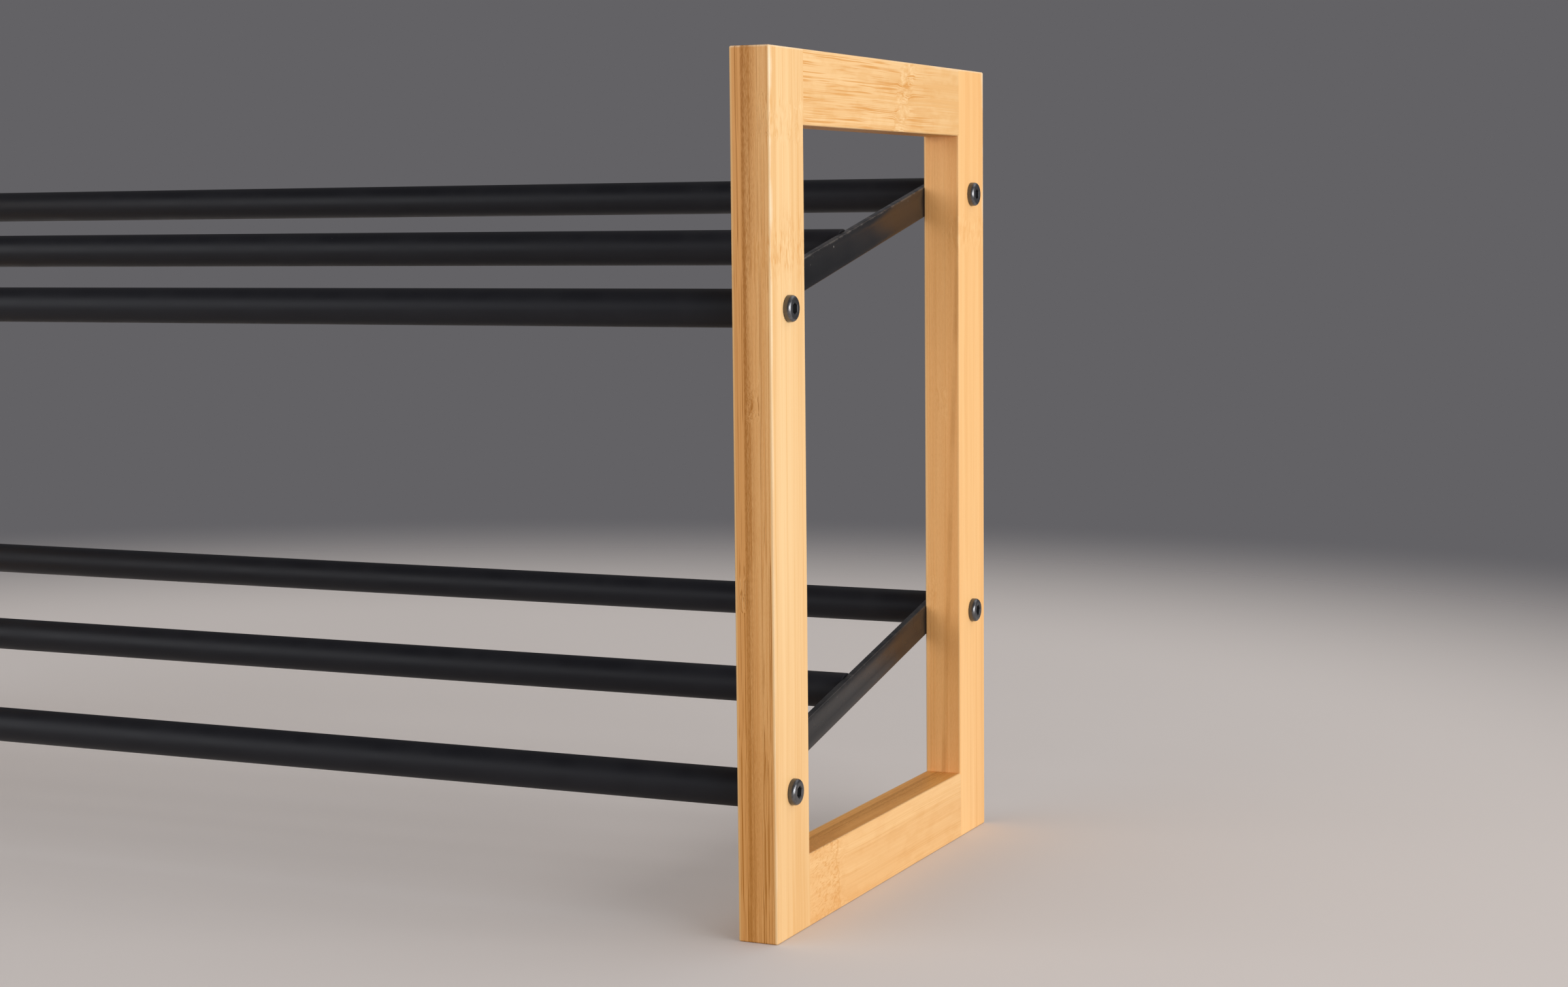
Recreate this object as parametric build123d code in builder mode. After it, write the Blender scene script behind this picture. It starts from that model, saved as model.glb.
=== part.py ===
from build123d import *
import os
from math import cos, radians, sin, tan

# A low shoe rack: bamboo end frames carry sloped shelves of black steel tube.
# Millimetres. +X runs along the rack to its right-hand end, -Y is the front and +Z is up.
# The origin lies on the floor, under the middle of the rack.

# Overall sizes
LENGTH = 700.0  # over the outer faces of the end frames
DEPTH = 222.0
HEIGHT = 330.0

# End frames: two posts each, with a top and a bottom rail butted between them
FRAME_THICKNESS = 16.0
POST_WIDTH = 30.0
RAIL_HEIGHT = 28.0
EDGE_RADIUS = 0.7

# Dowels between rail ends and posts
DOWEL_DIAMETER = 6.0
DOWEL_LENGTH = 30.0
DOWEL_SPACING = 14.0
DOWEL_CHAMFER = 0.6
DOWEL_CLEARANCE = 0.1  # hole over dowel, on the diameter
DOWEL_END_GAP = 1.0  # glue space past each end

# Shelves: three tubes each, welded at both ends to a flat bar
LOWER_SHELF_HEIGHT = 55.0  # front tube's axis above the floor
UPPER_SHELF_DROP = 95.0  # front tube's axis below the top of the frames
SHELF_TILT = 12.5  # degrees, rear edge up
TUBE_DIAMETER = 14.5
TUBE_WALL = 1.2
BAR_WIDTH = 12.5
BAR_THICKNESS = 3.0
WELD_LEG = 1.4
WELD_ARC = 70.0  # degrees of the tube's rim under one bead

# Threaded plugs in the ends of the front and rear tubes
PLUG_LENGTH = 18.0
PLUG_CLEARANCE = 0.1  # tube over plug, on the diameter
THREAD_CLEARANCE = 0.1  # plug bore over screw, on the diameter

# Low-head socket screws
SCREW_DIAMETER = 6.0
SCREW_TIP_CHAMFER = 0.6
THREAD_ENGAGEMENT = 11.0  # how far a screw reaches into its plug
SCREW_HOLE_CLEARANCE = 0.5  # hole over screw, on the diameter
HEAD_DIAMETER = 10.0
HEAD_HEIGHT = 2.8
HEAD_RIM_RADIUS = 1.1
SOCKET_WIDTH = 4.0
SOCKET_DEPTH = 2.0

# Places that follow from the sizes above
FRAME_INNER = LENGTH / 2 - FRAME_THICKNESS
FRAME_MIDDLE = LENGTH / 2 - FRAME_THICKNESS / 2
TUBE_END = FRAME_INNER - BAR_THICKNESS
POST_Y = (DEPTH - POST_WIDTH) / 2
WINDOW_DEPTH = DEPTH - 2 * POST_WIDTH
WINDOW_HEIGHT = HEIGHT - 2 * RAIL_HEIGHT
TILT = radians(SHELF_TILT)
BAR_PITCH = 2 * POST_Y / cos(TILT)
TUBE_RADIUS = TUBE_DIAMETER / 2
TUBE_BORE_RADIUS = TUBE_RADIUS - TUBE_WALL
SCREW_LENGTH = FRAME_THICKNESS + BAR_THICKNESS + THREAD_ENGAGEMENT
SCREW_HOLE_RADIUS = (SCREW_DIAMETER + SCREW_HOLE_CLEARANCE) / 2

SIDES = {"left": -1, "right": 1}
POSTS = {"front": -POST_Y, "rear": POST_Y}
RAILS = {"bottom": RAIL_HEIGHT / 2, "top": HEIGHT - RAIL_HEIGHT / 2}
SHELVES = {"lower": LOWER_SHELF_HEIGHT, "upper": HEIGHT - UPPER_SHELF_DROP}
TUBES = {"front": -POST_Y, "middle": 0.0, "rear": POST_Y}

# Sides of each tube where the bar runs on past it: +1 towards the rear, -1 towards the front
WELD_SIDES = {"front": (1,), "middle": (-1, 1), "rear": (-1,)}


def tube_height(front_height, y):
    """Height of a sloped shelf's centre line at y."""
    return front_height + (y + POST_Y) * tan(TILT)


def across(x, y, z):
    """Plane across the rack's length, for what runs along X."""
    return Plane(origin=(x, y, z), x_dir=(0, 1, 0), z_dir=(1, 0, 0))


def joint_face(x, y, z):
    """Plane of a butt joint between a rail end and a post, facing the rear."""
    return Plane(origin=(x, y, z), x_dir=(1, 0, 0), z_dir=(0, 1, 0))


os.makedirs("parts", exist_ok=True)

for side, outward in SIDES.items():
    frame_x = outward * FRAME_MIDDLE

    # The frame is rounded over as one piece, so its edges run on across the butt joints.
    with BuildPart() as rounded_frame:
        with BuildSketch(across(outward * FRAME_INNER, 0, HEIGHT / 2)):
            Rectangle(DEPTH, HEIGHT)
            Rectangle(WINDOW_DEPTH, WINDOW_HEIGHT, mode=Mode.SUBTRACT)
        extrude(amount=outward * FRAME_THICKNESS)
        rims = rounded_frame.edges().filter_by(Axis.X, reverse=True)
        corners = rounded_frame.edges().filter_by(Axis.X).group_by(Axis.Z)
        fillet(rims + corners[0] + corners[-1], radius=EDGE_RADIUS)

    for end, post_y in POSTS.items():
        rearward = 1 if post_y > 0 else -1
        with BuildPart() as post:
            add(rounded_frame.part)
            with Locations((frame_x, post_y, HEIGHT / 2)):
                Box(FRAME_THICKNESS, POST_WIDTH, HEIGHT, mode=Mode.INTERSECT)
            for front_height in SHELVES.values():
                with BuildSketch(across(outward * FRAME_INNER, post_y, tube_height(front_height, post_y))):
                    Circle(SCREW_HOLE_RADIUS)
                extrude(amount=outward * FRAME_THICKNESS, mode=Mode.SUBTRACT)
            for rail_z in RAILS.values():
                with BuildSketch(joint_face(frame_x, rearward * WINDOW_DEPTH / 2, rail_z)):
                    with GridLocations(0, DOWEL_SPACING, 1, 2):
                        Circle((DOWEL_DIAMETER + DOWEL_CLEARANCE) / 2)
                extrude(amount=rearward * (DOWEL_LENGTH / 2 + DOWEL_END_GAP), mode=Mode.SUBTRACT)
        node = f"{side}_{end}_post"
        post.part.label = node
        export_step(post.part, f"parts/{node}.step")

    for level, rail_z in RAILS.items():
        with BuildPart() as rail:
            add(rounded_frame.part)
            with Locations((frame_x, 0, rail_z)):
                Box(FRAME_THICKNESS, WINDOW_DEPTH, RAIL_HEIGHT, mode=Mode.INTERSECT)
            for rearward in (-1, 1):
                with BuildSketch(joint_face(frame_x, rearward * WINDOW_DEPTH / 2, rail_z)):
                    with GridLocations(0, DOWEL_SPACING, 1, 2):
                        Circle((DOWEL_DIAMETER + DOWEL_CLEARANCE) / 2)
                extrude(amount=-rearward * (DOWEL_LENGTH / 2 + DOWEL_END_GAP), mode=Mode.SUBTRACT)
        node = f"{side}_{level}_rail"
        rail.part.label = node
        export_step(rail.part, f"parts/{node}.step")

    with BuildPart() as dowels:
        for rail_z in RAILS.values():
            for rearward in (-1, 1):
                dowel_start = rearward * WINDOW_DEPTH / 2 - DOWEL_LENGTH / 2
                with BuildSketch(joint_face(frame_x, dowel_start, rail_z)):
                    with GridLocations(0, DOWEL_SPACING, 1, 2):
                        Circle(DOWEL_DIAMETER / 2)
                extrude(amount=DOWEL_LENGTH)
        chamfer(dowels.edges().filter_by(GeomType.CIRCLE), length=DOWEL_CHAMFER)
    node = f"{side}_frame_dowels"
    dowels.part.label = node
    export_step(dowels.part, f"parts/{node}.step")

    screw_places = []
    for front_height in SHELVES.values():
        for post_y in POSTS.values():
            screw_places.append((post_y, tube_height(front_height, post_y)))
    with BuildPart() as screws:
        with BuildSketch(across(outward * LENGTH / 2, 0, 0)):
            with Locations(*screw_places):
                Circle(HEAD_DIAMETER / 2)
        extrude(amount=outward * HEAD_HEIGHT)
        head_faces = screws.faces().sort_by(Axis.X, reverse=outward > 0)[: len(screw_places)]
        fillet(head_faces.edges(), radius=HEAD_RIM_RADIUS)
        with BuildSketch(across(outward * (LENGTH / 2 + HEAD_HEIGHT), 0, 0)):
            with Locations(*screw_places):
                RegularPolygon(SOCKET_WIDTH / 2, side_count=6, major_radius=False)
        extrude(amount=-outward * SOCKET_DEPTH, mode=Mode.SUBTRACT)
        with BuildSketch(across(outward * LENGTH / 2, 0, 0)):
            with Locations(*screw_places):
                Circle(SCREW_DIAMETER / 2)
        extrude(amount=-outward * SCREW_LENGTH)
        tip_faces = screws.faces().sort_by(Axis.X, reverse=outward < 0)[: len(screw_places)]
        chamfer(tip_faces.edges(), length=SCREW_TIP_CHAMFER)
    node = f"{side}_frame_screws"
    screws.part.label = node
    export_step(screws.part, f"parts/{node}.step")

for shelf, front_height in SHELVES.items():
    for place, tube_y in TUBES.items():
        with BuildPart() as tube:
            with BuildSketch(across(-TUBE_END, tube_y, tube_height(front_height, tube_y))):
                Circle(TUBE_RADIUS)
                Circle(TUBE_BORE_RADIUS, mode=Mode.SUBTRACT)
            extrude(amount=2 * TUBE_END)
        node = f"{shelf}_{place}_tube"
        tube.part.label = node
        export_step(tube.part, f"parts/{node}.step")

    for side, outward in SIDES.items():
        bar_middle = (outward * TUBE_END, 0, tube_height(front_height, 0))
        bar_face = Plane(origin=bar_middle, x_dir=(0, cos(TILT), sin(TILT)), z_dir=(1, 0, 0))
        with BuildPart() as bar:
            with BuildSketch(bar_face):
                SlotCenterToCenter(BAR_PITCH, BAR_WIDTH)
                with GridLocations(BAR_PITCH, 0, 2, 1):
                    Circle(SCREW_HOLE_RADIUS, mode=Mode.SUBTRACT)
            extrude(amount=outward * BAR_THICKNESS)
        node = f"{shelf}_{side}_bar"
        bar.part.label = node
        export_step(bar.part, f"parts/{node}.step")

    with BuildPart() as plugs:
        for outward in SIDES.values():
            for post_y in POSTS.values():
                with BuildSketch(across(outward * TUBE_END, post_y, tube_height(front_height, post_y))):
                    Circle(TUBE_BORE_RADIUS - PLUG_CLEARANCE / 2)
                    Circle((SCREW_DIAMETER + THREAD_CLEARANCE) / 2, mode=Mode.SUBTRACT)
                extrude(amount=-outward * PLUG_LENGTH)
    node = f"{shelf}_threaded_plugs"
    plugs.part.label = node
    export_step(plugs.part, f"parts/{node}.step")

    with BuildPart() as welds:
        for outward in SIDES.values():
            for place, tube_y in TUBES.items():
                tube_end = Vector(outward * TUBE_END, tube_y, tube_height(front_height, tube_y))
                inward = Vector(-outward, 0, 0)
                for rearward in WELD_SIDES[place]:
                    bead_middle = TILT if rearward > 0 else TILT + radians(180)
                    bead_start = bead_middle - radians(WELD_ARC / 2)
                    spoke = Vector(0, cos(bead_start), sin(bead_start))
                    with BuildSketch(Plane(origin=tube_end, x_dir=inward, z_dir=inward.cross(spoke))):
                        with BuildLine():
                            on_tube = (WELD_LEG, TUBE_RADIUS)
                            on_bar = (0, TUBE_RADIUS + WELD_LEG)
                            root = (0, TUBE_RADIUS)
                            Polyline(on_bar, root, on_tube)
                            RadiusArc(on_tube, on_bar, -2 * WELD_LEG)
                        make_face()
                    revolve(axis=Axis(tube_end, (1, 0, 0)), revolution_arc=WELD_ARC)
    node = f"{shelf}_weld_beads"
    welds.part.label = node
    export_step(welds.part, f"parts/{node}.step")
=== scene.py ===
"""Looks of a low shoe rack: bamboo end frames that carry sloped shelves of black steel tube."""

import math
from collections import namedtuple

import bmesh
import bpy
from mathutils import Matrix, Vector


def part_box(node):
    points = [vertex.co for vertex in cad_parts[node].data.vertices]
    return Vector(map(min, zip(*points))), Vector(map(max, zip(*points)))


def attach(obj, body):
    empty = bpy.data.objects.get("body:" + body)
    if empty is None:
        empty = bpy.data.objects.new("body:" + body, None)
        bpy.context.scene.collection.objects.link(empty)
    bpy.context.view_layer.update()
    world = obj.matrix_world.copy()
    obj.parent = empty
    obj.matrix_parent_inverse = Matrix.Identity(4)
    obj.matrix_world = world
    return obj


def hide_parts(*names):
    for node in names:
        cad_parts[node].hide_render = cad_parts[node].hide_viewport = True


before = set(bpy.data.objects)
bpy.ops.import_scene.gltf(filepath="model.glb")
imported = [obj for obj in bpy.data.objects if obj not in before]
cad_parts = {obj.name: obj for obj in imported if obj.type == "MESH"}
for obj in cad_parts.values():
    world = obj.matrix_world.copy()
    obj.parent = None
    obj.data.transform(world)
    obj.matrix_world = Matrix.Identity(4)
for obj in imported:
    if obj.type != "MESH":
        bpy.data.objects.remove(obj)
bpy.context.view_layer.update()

# Metres, with +X along the rack to its right-hand end, -Y the front and +Z up
MM = 0.001

SIDES = {"left": -1, "right": 1}
SHELVES = ("lower", "upper")
TUBES = ("front", "middle", "rear")


def middle_of(node):
    """Middle of a node's box."""
    low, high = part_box(node)
    return (low + high) / 2


def size_of(node):
    """Size of a node's box."""
    low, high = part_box(node)
    return high - low


# Sizes that the frame gives
BOARD_THICKNESS = size_of("right_front_post").x
TUBE_LENGTH = size_of("upper_front_tube").x
TUBE_DIAMETER = size_of("upper_front_tube").z
BAR_THICKNESS = size_of("upper_right_bar").x
FRAME_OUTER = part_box("right_front_post")[1].x
SCREW_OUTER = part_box("right_frame_screws")[1].x
SCREW_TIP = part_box("right_frame_screws")[0].x
SHELF_TILT = math.atan2(
    middle_of("upper_rear_tube").z - middle_of("upper_front_tube").z,
    middle_of("upper_rear_tube").y - middle_of("upper_front_tube").y,
)

# Sizes of the small steel pieces
TUBE_WALL = 1.2 * MM
TUBE_END_ROUNDING = 0.25 * MM
BAR_WIDTH = 12.5 * MM
BAR_EDGE_ROUNDING = 0.4 * MM
SCREW_HOLE_DIAMETER = 6.5 * MM
SCREW_DIAMETER = 6.0 * MM
SCREW_TIP_CHAMFER = 0.6 * MM
HEAD_DIAMETER = 10.0 * MM
HEAD_RIM_RADIUS = 1.4 * MM
HEAD_UNDER_CHAMFER = 0.2 * MM
SOCKET_WIDTH = 4.0 * MM
SOCKET_DEPTH = 2.0 * MM
SOCKET_CHAMFER = 0.25 * MM
SOCKET_FLOOR_WIDTH = 0.6 * SOCKET_WIDTH
SOCKET_LAND = 2.5 * SOCKET_CHAMFER
HEAD_RIM_REACH = 1.3 * HEAD_RIM_RADIUS
WELD_LEG = 1.4 * MM
BEAD_INSET = WELD_LEG * 0.3
BEAD_STAND_OFF = WELD_LEG * 0.25
BEAD_RADIUS = WELD_LEG * 0.8
WELD_ARC = math.radians(70)


def new_object(name, data):
    """Adds an object to the scene."""
    made = bpy.data.objects.new(name, data)
    bpy.context.scene.collection.objects.link(made)
    return made


def mesh_of(form, name):
    """Turns a form that is ready into a mesh."""
    mesh = bpy.data.meshes.new(name)
    form.to_mesh(mesh)
    form.free()
    return mesh


# Node trees

def feed(tree, socket, value):
    """Links a socket to another one, or sets its value."""
    if isinstance(value, bpy.types.NodeSocket):
        tree.links.new(value, socket)
    else:
        socket.default_value = value


def add(tree, kind, inputs=None, **settings):
    """Adds a node. Inputs are keyed by name or number and hold values or other nodes' outputs."""
    node = tree.nodes.new(kind)
    for name, value in settings.items():
        setattr(node, name, value)
    for socket, value in (inputs or {}).items():
        feed(tree, node.inputs[socket], value)
    return node


def calc(tree, operation, *values, clamp=False):
    """Adds a Math node and returns its result."""
    node = add(tree, "ShaderNodeMath", dict(enumerate(values)), operation=operation, use_clamp=clamp)
    return node.outputs[0]


def chain(tree, operation, values):
    """Runs a Math operation over two or more values, one after the other."""
    result = values[0]
    for value in values[1:]:
        result = calc(tree, operation, result, value)
    return result


def times(tree, *values):
    """Product of the values."""
    return chain(tree, "MULTIPLY", values)


def plus(tree, *values):
    """Sum of the values."""
    return chain(tree, "ADD", values)


def minus(tree, *values):
    """First value less the others."""
    return chain(tree, "SUBTRACT", values)


def largest(tree, *values):
    """Largest of the values."""
    return chain(tree, "MAXIMUM", values)


def times_plus(tree, value, factor, rest, clamp=False):
    """Value times factor plus the rest."""
    return calc(tree, "MULTIPLY_ADD", value, factor, rest, clamp=clamp)


def unsigned(tree, value):
    """A value without its sign."""
    return calc(tree, "ABSOLUTE", value)


def fade(tree, value, start, end):
    """Smooth step of a value, from 0 at start to 1 at end."""
    inputs = {"Value": value, "From Min": start, "From Max": end}
    node = add(tree, "ShaderNodeMapRange", inputs, interpolation_type="SMOOTHSTEP")
    return node.outputs[0]


# Sockets of a Mix node that hold its share, its two colours and the colour it makes
MIX_SHARE = 0
MIX_FIRST = 6
MIX_SECOND = 7
MIX_RESULT = 2


def blend(tree, share, first, second, blend_type="MIX"):
    """Mixes two colours."""
    inputs = {MIX_SHARE: share, MIX_FIRST: first, MIX_SECOND: second}
    node = add(tree, "ShaderNodeMix", inputs, data_type="RGBA", blend_type=blend_type)
    return node.outputs[MIX_RESULT]


def vector(tree, x, y, z):
    """Combines three values into a vector."""
    return add(tree, "ShaderNodeCombineXYZ", {0: x, 1: y, 2: z}).outputs[0]


def axes_of(tree, place):
    """Splits a vector into its three values."""
    return add(tree, "ShaderNodeSeparateXYZ", {0: place}).outputs


def stretch(tree, axes, fineness):
    """A vector of three values, each times its own fineness."""
    return vector(tree, *(times(tree, axis, fine) for axis, fine in zip(axes, fineness)))


def noise(tree, place, seed, scale=1.0, detail=2.0, output="Fac"):
    """Noise over a place, which changes with the seed."""
    inputs = {"Vector": place, "W": seed, "Scale": scale, "Detail": detail}
    return add(tree, "ShaderNodeTexNoise", inputs, noise_dimensions="4D").outputs[output]


def about_zero(tree, value):
    """Moves a value from between 0 and 1 to between -0.5 and 0.5."""
    return minus(tree, value, 0.5)


SOCKET_TYPES = {float: "NodeSocketFloat", tuple: "NodeSocketColor"}


def new_group(kind, name, inputs, outputs):
    """Starts a node group. An input is given by its type, or by the number or colour that it starts from.

    Returns the group's tree, its inputs by name and its output node.
    """
    tree = bpy.data.node_groups.new(name, kind)
    for socket, start in inputs.items():
        if isinstance(start, str):
            tree.interface.new_socket(socket, in_out="INPUT", socket_type=start)
        else:
            made = tree.interface.new_socket(socket, in_out="INPUT", socket_type=SOCKET_TYPES[type(start)])
            made.default_value = start
    for socket, socket_type in outputs.items():
        tree.interface.new_socket(socket, in_out="OUTPUT", socket_type=socket_type)
    return tree, tree.nodes.new("NodeGroupInput").outputs, tree.nodes.new("NodeGroupOutput")


def use_group(tree, group, **inputs):
    """Places a shader node group and returns its outputs."""
    node = add(tree, "ShaderNodeGroup", node_tree=group)
    for socket, value in inputs.items():
        feed(tree, node.inputs[socket.replace("_", " ")], value)
    return node.outputs


# Shared effects of the finishes

SPECK_HEART = 0.4  # share of a speck's radius that it covers fully


def dust_group():
    """Tiny specks of dust. Place and sizes are in millimetres."""
    tree, given, out = new_group(
        "ShaderNodeTree",
        "dust_specks",
        {"Place": "NodeSocketVector", "Spacing": 5.0, "Speck Size": 0.3, "Share": 0.4},
        {"Mask": "NodeSocketFloat"},
    )
    density = calc(tree, "DIVIDE", 1.0, given["Spacing"])
    cells = add(tree, "ShaderNodeTexVoronoi", {"Vector": given["Place"], "Scale": density}).outputs
    radius = times(tree, given["Speck Size"], times(tree, density, 0.5))
    speck = fade(tree, cells["Distance"], radius, times(tree, radius, SPECK_HEART))
    draw = axes_of(tree, cells["Color"])[0]
    kept = calc(tree, "LESS_THAN", draw, given["Share"])
    feed(tree, out.inputs["Mask"], times(tree, speck, kept))
    return tree


# Inputs of the bamboo group. Lengths are in millimetres, tones are shares from pale to tan, and the face or
# side that takes the painted arris highlight is given by its sign. A mark off the board doesn't show.
OFF_BOARD = 500.0
BAMBOO_INPUTS = {
    "Place": "NodeSocketVector",
    "Seed": 0.0,
    "Board Thickness": 15.0,
    "Board Width": 30.0,
    "Board Length": 300.0,
    # Pale colour painted on the arrises as a highlight
    "Sanded": (0.94, 0.73, 0.49, 1),
    "Pale": (0.88, 0.585, 0.29, 1),
    "Tan": (0.77, 0.44, 0.17, 1),
    "Amber": (0.68, 0.31, 0.075, 1),
    "Brown": (0.38, 0.13, 0.003, 1),
    # Tint of the cut faces: the edge grain's own tan, with painted warm shade of the shaded cut faces in it
    "Cut Tint": (0.98, 0.77, 0.46, 1),
    # The worn face, side and top say where the painted arris highlight goes
    "Worn Face": 0.0,
    "Worn Side": 0.0,
    "Worn Top": 0.0,
    "Inner Tone": 0.0,
    "Middle Tone": 0.0,
    "Outer Tone": 0.0,
    "Low End Tone": 0.0,
    "High End Tone": 0.0,
    "Inner Seam": 0.3,
    "Outer Seam": 0.3,
    "Seam Reach": 3.0,
    "Low Seam Share": 1.0,
    "Outer Seam Shift": 0.0,
    "Outer Seam Lean": 0.0,
    "Outer Seam Width": 0.34,
    "Inner Knuckle": OFF_BOARD,
    "Middle Knuckle": OFF_BOARD,
    "Outer Knuckle": OFF_BOARD,
    "Knuckle Slant": 0.0,
    "Knuckle Line": 0.0,
    "Line Strength": 0.55,
    "Cut Lines": 0.4,
    "Mottle": 0.1,
    "Ridges": 0.0,
    "Feather": 0.0,
    "Blotch": 0.0,
    "Fleck Amount": 0.1,
    "Fleck Start": -OFF_BOARD,
    "Fleck End": OFF_BOARD,
    "Fleck Length": 36.0,
}
BAMBOO_OUTPUTS = {"Color": "NodeSocketColor", "Roughness": "NodeSocketFloat", "Height": "NodeSocketFloat"}

# Marks along the fibres: how fine they are per millimetre through, across and along the board, their shift of
# the seed, their detail, and the levels of noise at which they start and are full
Marks = namedtuple("Marks", "through across along shift detail start full", defaults=(0.0, 2.0, 0.0, 1.0))
BUSY_BANDS = Marks(0.45, 0.3, 0.004, shift=41.0, start=0.4, full=0.62)
BROAD_BANDS = Marks(0.3, 0.17, 0.0045, shift=3.1, start=0.3, full=0.7)
FIBRE_LINES = Marks(2.2, 1.7, 0.008, start=0.42, full=0.64)
FIBRE_HAIRS = Marks(5.5, 4.5, 0.02, shift=5.7, detail=1.0, start=0.5, full=0.68)
FIBRE_DASHES = Marks(7.0, 6.0, 0.5, shift=23.9, start=0.4, full=0.66)
CUT_LINES = Marks(3.2, 2.5, 0.006, shift=19.5, detail=1.0, start=0.5, full=0.64)
FLECK_BUNCHES = Marks(0.5, 0.4, 0.03, shift=8.3, start=0.36, full=0.58)
FLECKS = Marks(2.5, 2.3, 1.0, shift=12.4, detail=1.0, start=0.48, full=0.61)  # along: one over their length
KNUCKLE_MOTTLE = Marks(0.9, 0.62, 0.26, shift=15.8)
KNUCKLE_RAGS = Marks(1.0, 0.8, 0.5, shift=30.2)

# Layers, knuckles, and the drift and swirl of the fibres
LAYERS = 3.0
WOBBLE_FINENESS = 0.2
KNUCKLE_WOBBLE = 10.0
KNUCKLE_REACH = 10.0
KNUCKLE_HEART = 3.0
DRIFT_FINENESS = 0.011
DRIFT_THROUGH = 0.8
DRIFT_ACROSS = 3.0
SWIRL_FINENESS = (0.25, 0.2, 0.07)
SWIRL_THROUGH = 4.0
SWIRL_ACROSS = 7.0

# Cut layers and the painted arris highlight: depths at which they start and are full, and how far the
# highlight reaches
CUT_DEPTH = (0.6, 1.3)
ARRIS_DEPTH = (0.7, 0.25)
TOP_ARRIS_DEPTH = (0.9, 0.2)
HIGHLIGHT_WIDTH = 0.5
HIGHLIGHT_EXTRA_WIDTH = 3.4
HIGHLIGHT_HEIGHT = (20.0, 140.0)
HIGHLIGHT_LOW_SHARE = 0.2
HIGHLIGHT_LEVELS = (0.38, 0.66)
HIGHLIGHT_PALENESS = (0.6, 0.3)
PATCH_STRETCH = 0.3
PATCH_SCALE = 0.04

# Tones, relief and roughness
BUSY_SHARE = 0.75
HAIR_SHARE = 0.5
DASH_SHARE = 0.4
BROAD_SHARE = 0.5
BLOTCH_FINENESS = (0.2, 0.22, 0.09)
BLOTCH_LEVELS = (0.45, 0.65)
MOTTLE_GAIN = 6.0
RIDGE_TURNS = 5.2  # radians of a ripple to the millimetre
RIDGE_CREST = (0.4, 1.0)
RIDGE_PALENESS = -1.2
RIDGE_RELIEF = 3.0
HAIR_RELIEF = -0.5
FIBRE_ROUGHNESS = 0.42
LINE_ROUGHNESS = 0.1
ARRIS_ROUGHNESS = -0.05

# Brown seams and amber marks. A pair of shares is what a mask adds and what is there without it
INNER_SEAM_SHIFT = 0.5
OUTER_SEAM_SHIFT = 0.4
SEAM_EDGE = (-0.6, -0.2)
SEAM_DRIFT = (-0.15, 0.15)
SEAM_REACH_SHARES = (0.8, 0.6)
STREAK_DASHES = 0.5
STREAK_LINES = (0.4, 0.34)
SEAM_HEART = 0.3
INNER_LINE_WIDTH = (1.0, 0.2)
INNER_LINE_SHARE = 0.35
SEAM_LOSS_HEIGHT = (60.0, -90.0)
OUTER_LINE_HEART = 0.24
OUTER_SEAM_LEVELS = (0.42, 0.6)
OUTER_SEAM_SHARES = (0.6, 0.4)
OUTER_SEAM_DEPTH = (0.1, 0.6)
FLECK_START_FADE = (-12.0, 12.0)
FLECK_END_FADE = (25.0, -25.0)
FEATHER_RISE = (-36.0, -14.0)
FEATHER_STOP = (2.0, -1.0)
STROKE_LEAN = 0.25
STROKE_WOBBLE = 5.0
STROKE_FINENESS = (1.6, 0.34)
STROKE_LEVELS = (0.48, 0.64)
PORE_STRETCH = 0.5
PORE_SHARE = 0.25
KNUCKLE_RAG = 7.0
KNUCKLE_LINE_WIDTH = (1.6, 0.2)


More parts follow.
